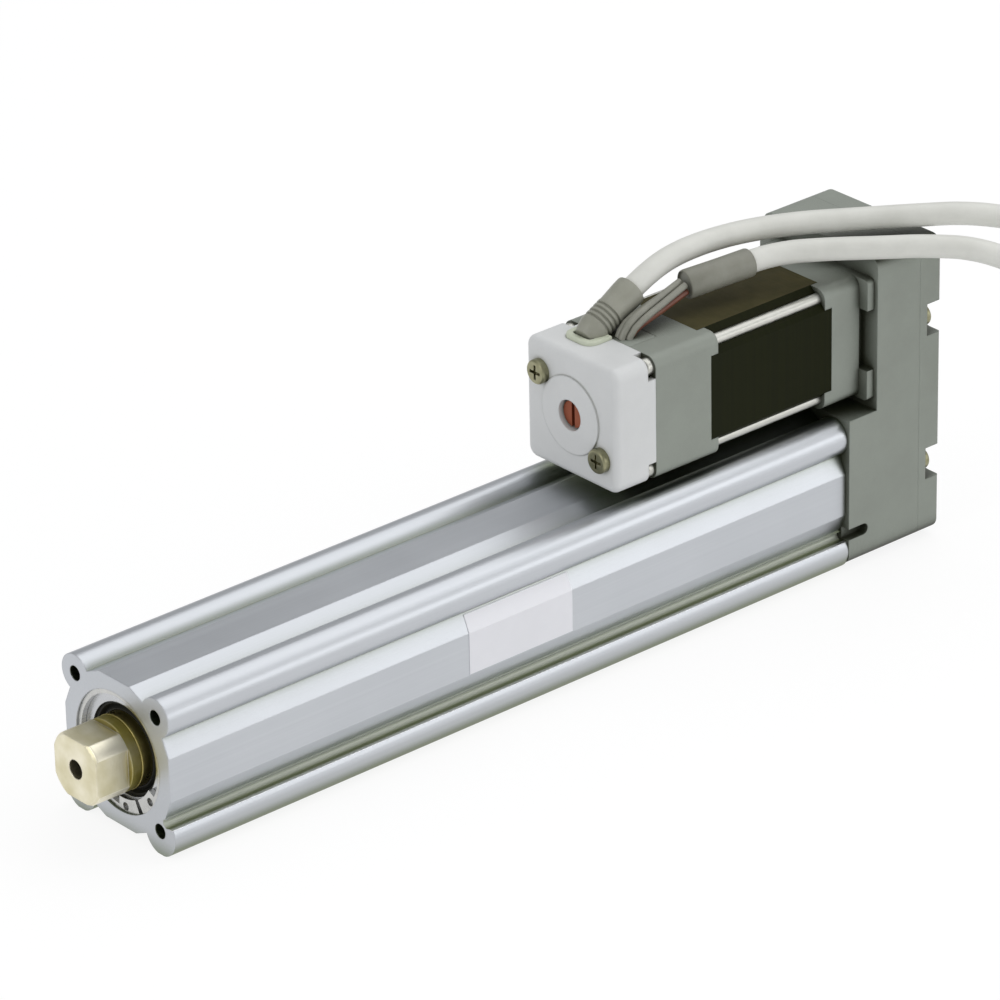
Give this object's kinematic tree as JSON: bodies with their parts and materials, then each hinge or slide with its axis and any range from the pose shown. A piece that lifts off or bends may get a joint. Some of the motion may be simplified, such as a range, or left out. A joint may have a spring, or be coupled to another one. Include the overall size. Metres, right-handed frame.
{
  "type": "electric cylinder",
  "caption": "Rod-type electric cylinder: a ribbed aluminium tube with a sliding rod, a rear belt box and a stepping motor carried parallel on top, with its leads.",
  "frame": {"origin": "where the rod's axis meets the tube's front mounting face, rod drawn in", "axes": "+X the way the rod extends, +Z from the rod's axis to the motor's axis, +Y the side seen in the picture"},
  "size_m": [0.3262, 0.0702, 0.0793],
  "materials": {
    "anodised_tube": "satin clear anodised extrusion",
    "turned_aluminium": "turned",
    "grey_casting": "matt grey painted die casting",
    "nickel_steel": "turned and nickel plated",
    "bright_steel": "ground",
    "zinc_screws": "bright zinc plated",
    "spring_steel": "bright plated",
    "black_rubber": "matt",
    "bronze": "sintered",
    "magnet_black": "sintered",
    "guide_resin": "moulded",
    "laminations": "black varnished sheet stack",
    "copper_winding": "enamelled wire",
    "white_cover": "moulded",
    "board_green": "solder mask",
    "disc_clear": "clear",
    "override_bronze": "reddish",
    "grommet_rubber": "moulded",
    "lead_sheath": "extruded sheath",
    "sleeve_grey": "shrink sleeve",
    "nylon_plug": "moulded nylon",
    "blank_label": "blank foil"
  },
  "bodies": {
    "frame": {"bearing_housing": "turned_aluminium", "bearing_outer_rings": "bright_steel", "bearing_stopper": "bright_steel", "body_screws": "zinc_screws", "body_tube": "anodised_tube", "cable_grommet": "grommet_rubber", "cover_screws": "zinc_screws", "drive_belt": "black_rubber", "encoder_board": "board_green", "far_cable": "lead_sheath", "far_connector": "nylon_plug", "far_sleeve": "sleeve_grey", "front_bumper": "black_rubber", "motor_adapter": "grey_casting", "motor_bearing_outers": "bright_steel", "motor_cover": "white_cover", "motor_flange": "grey_casting", "motor_front_cap": "grey_casting", "motor_screws": "zinc_screws", "name_label": "blank_label", "near_cable": "lead_sheath", "near_connector": "nylon_plug", "near_sleeve": "sleeve_grey", "near_wires": "sleeve_grey", "plate_screws": "zinc_screws", "rear_bumper": "black_rubber", "retaining_ring": "spring_steel", "return_box": "grey_casting", "return_plate": "grey_casting", "rod_bush": "bronze", "rod_cover": "turned_aluminium", "rod_seal": "black_rubber", "stator_stack": "laminations", "tie_bolts": "zinc_screws", "windings": "copper_winding"},
    "rod": {"rod_socket": "nickel_steel", "piston_rod": "nickel_steel", "piston": "turned_aluminium", "ball_nut": "bright_steel", "wear_ring": "guide_resin", "magnet": "magnet_black", "magnet_holder": "turned_aluminium", "rotation_guide": "guide_resin"},
    "screw": {"drive_screw": "bright_steel", "bearing_inner_rings": "bright_steel", "bearing_balls": "bright_steel", "lock_nut": "bright_steel", "screw_pulley": "turned_aluminium"},
    "rotor": {"motor_shaft": "bright_steel", "rotor_cups": "laminations", "rotor_magnet": "magnet_black", "encoder_disc": "disc_clear", "override_screw": "override_bronze", "motor_bearing_inners": "bright_steel", "motor_bearing_balls": "bright_steel", "motor_pulley": "turned_aluminium"}
  },
  "joints": [
    {"name": "rod_slide", "type": "slide", "parent": "frame", "child": "rod", "axis": [1, 0, 0], "range_m": [0, 0.1]},
    {"name": "screw_spin", "type": "hinge", "parent": "frame", "child": "screw", "pos_m": [-0.17, 0, 0], "axis": [1, 0, 0], "range_deg": [-7201, 1]},
    {"name": "motor_spin", "type": "hinge", "parent": "frame", "child": "rotor", "pos_m": [-0.165, 0, 0.034], "axis": [1, 0, 0], "range_deg": [-7201, 1]}
  ],
  "couplings": [
    {"joint": "screw_spin", "follows": "rod_slide", "rad_per_m": -1256.6},
    {"joint": "motor_spin", "follows": "rod_slide", "rad_per_m": -1256.6}
  ]
}
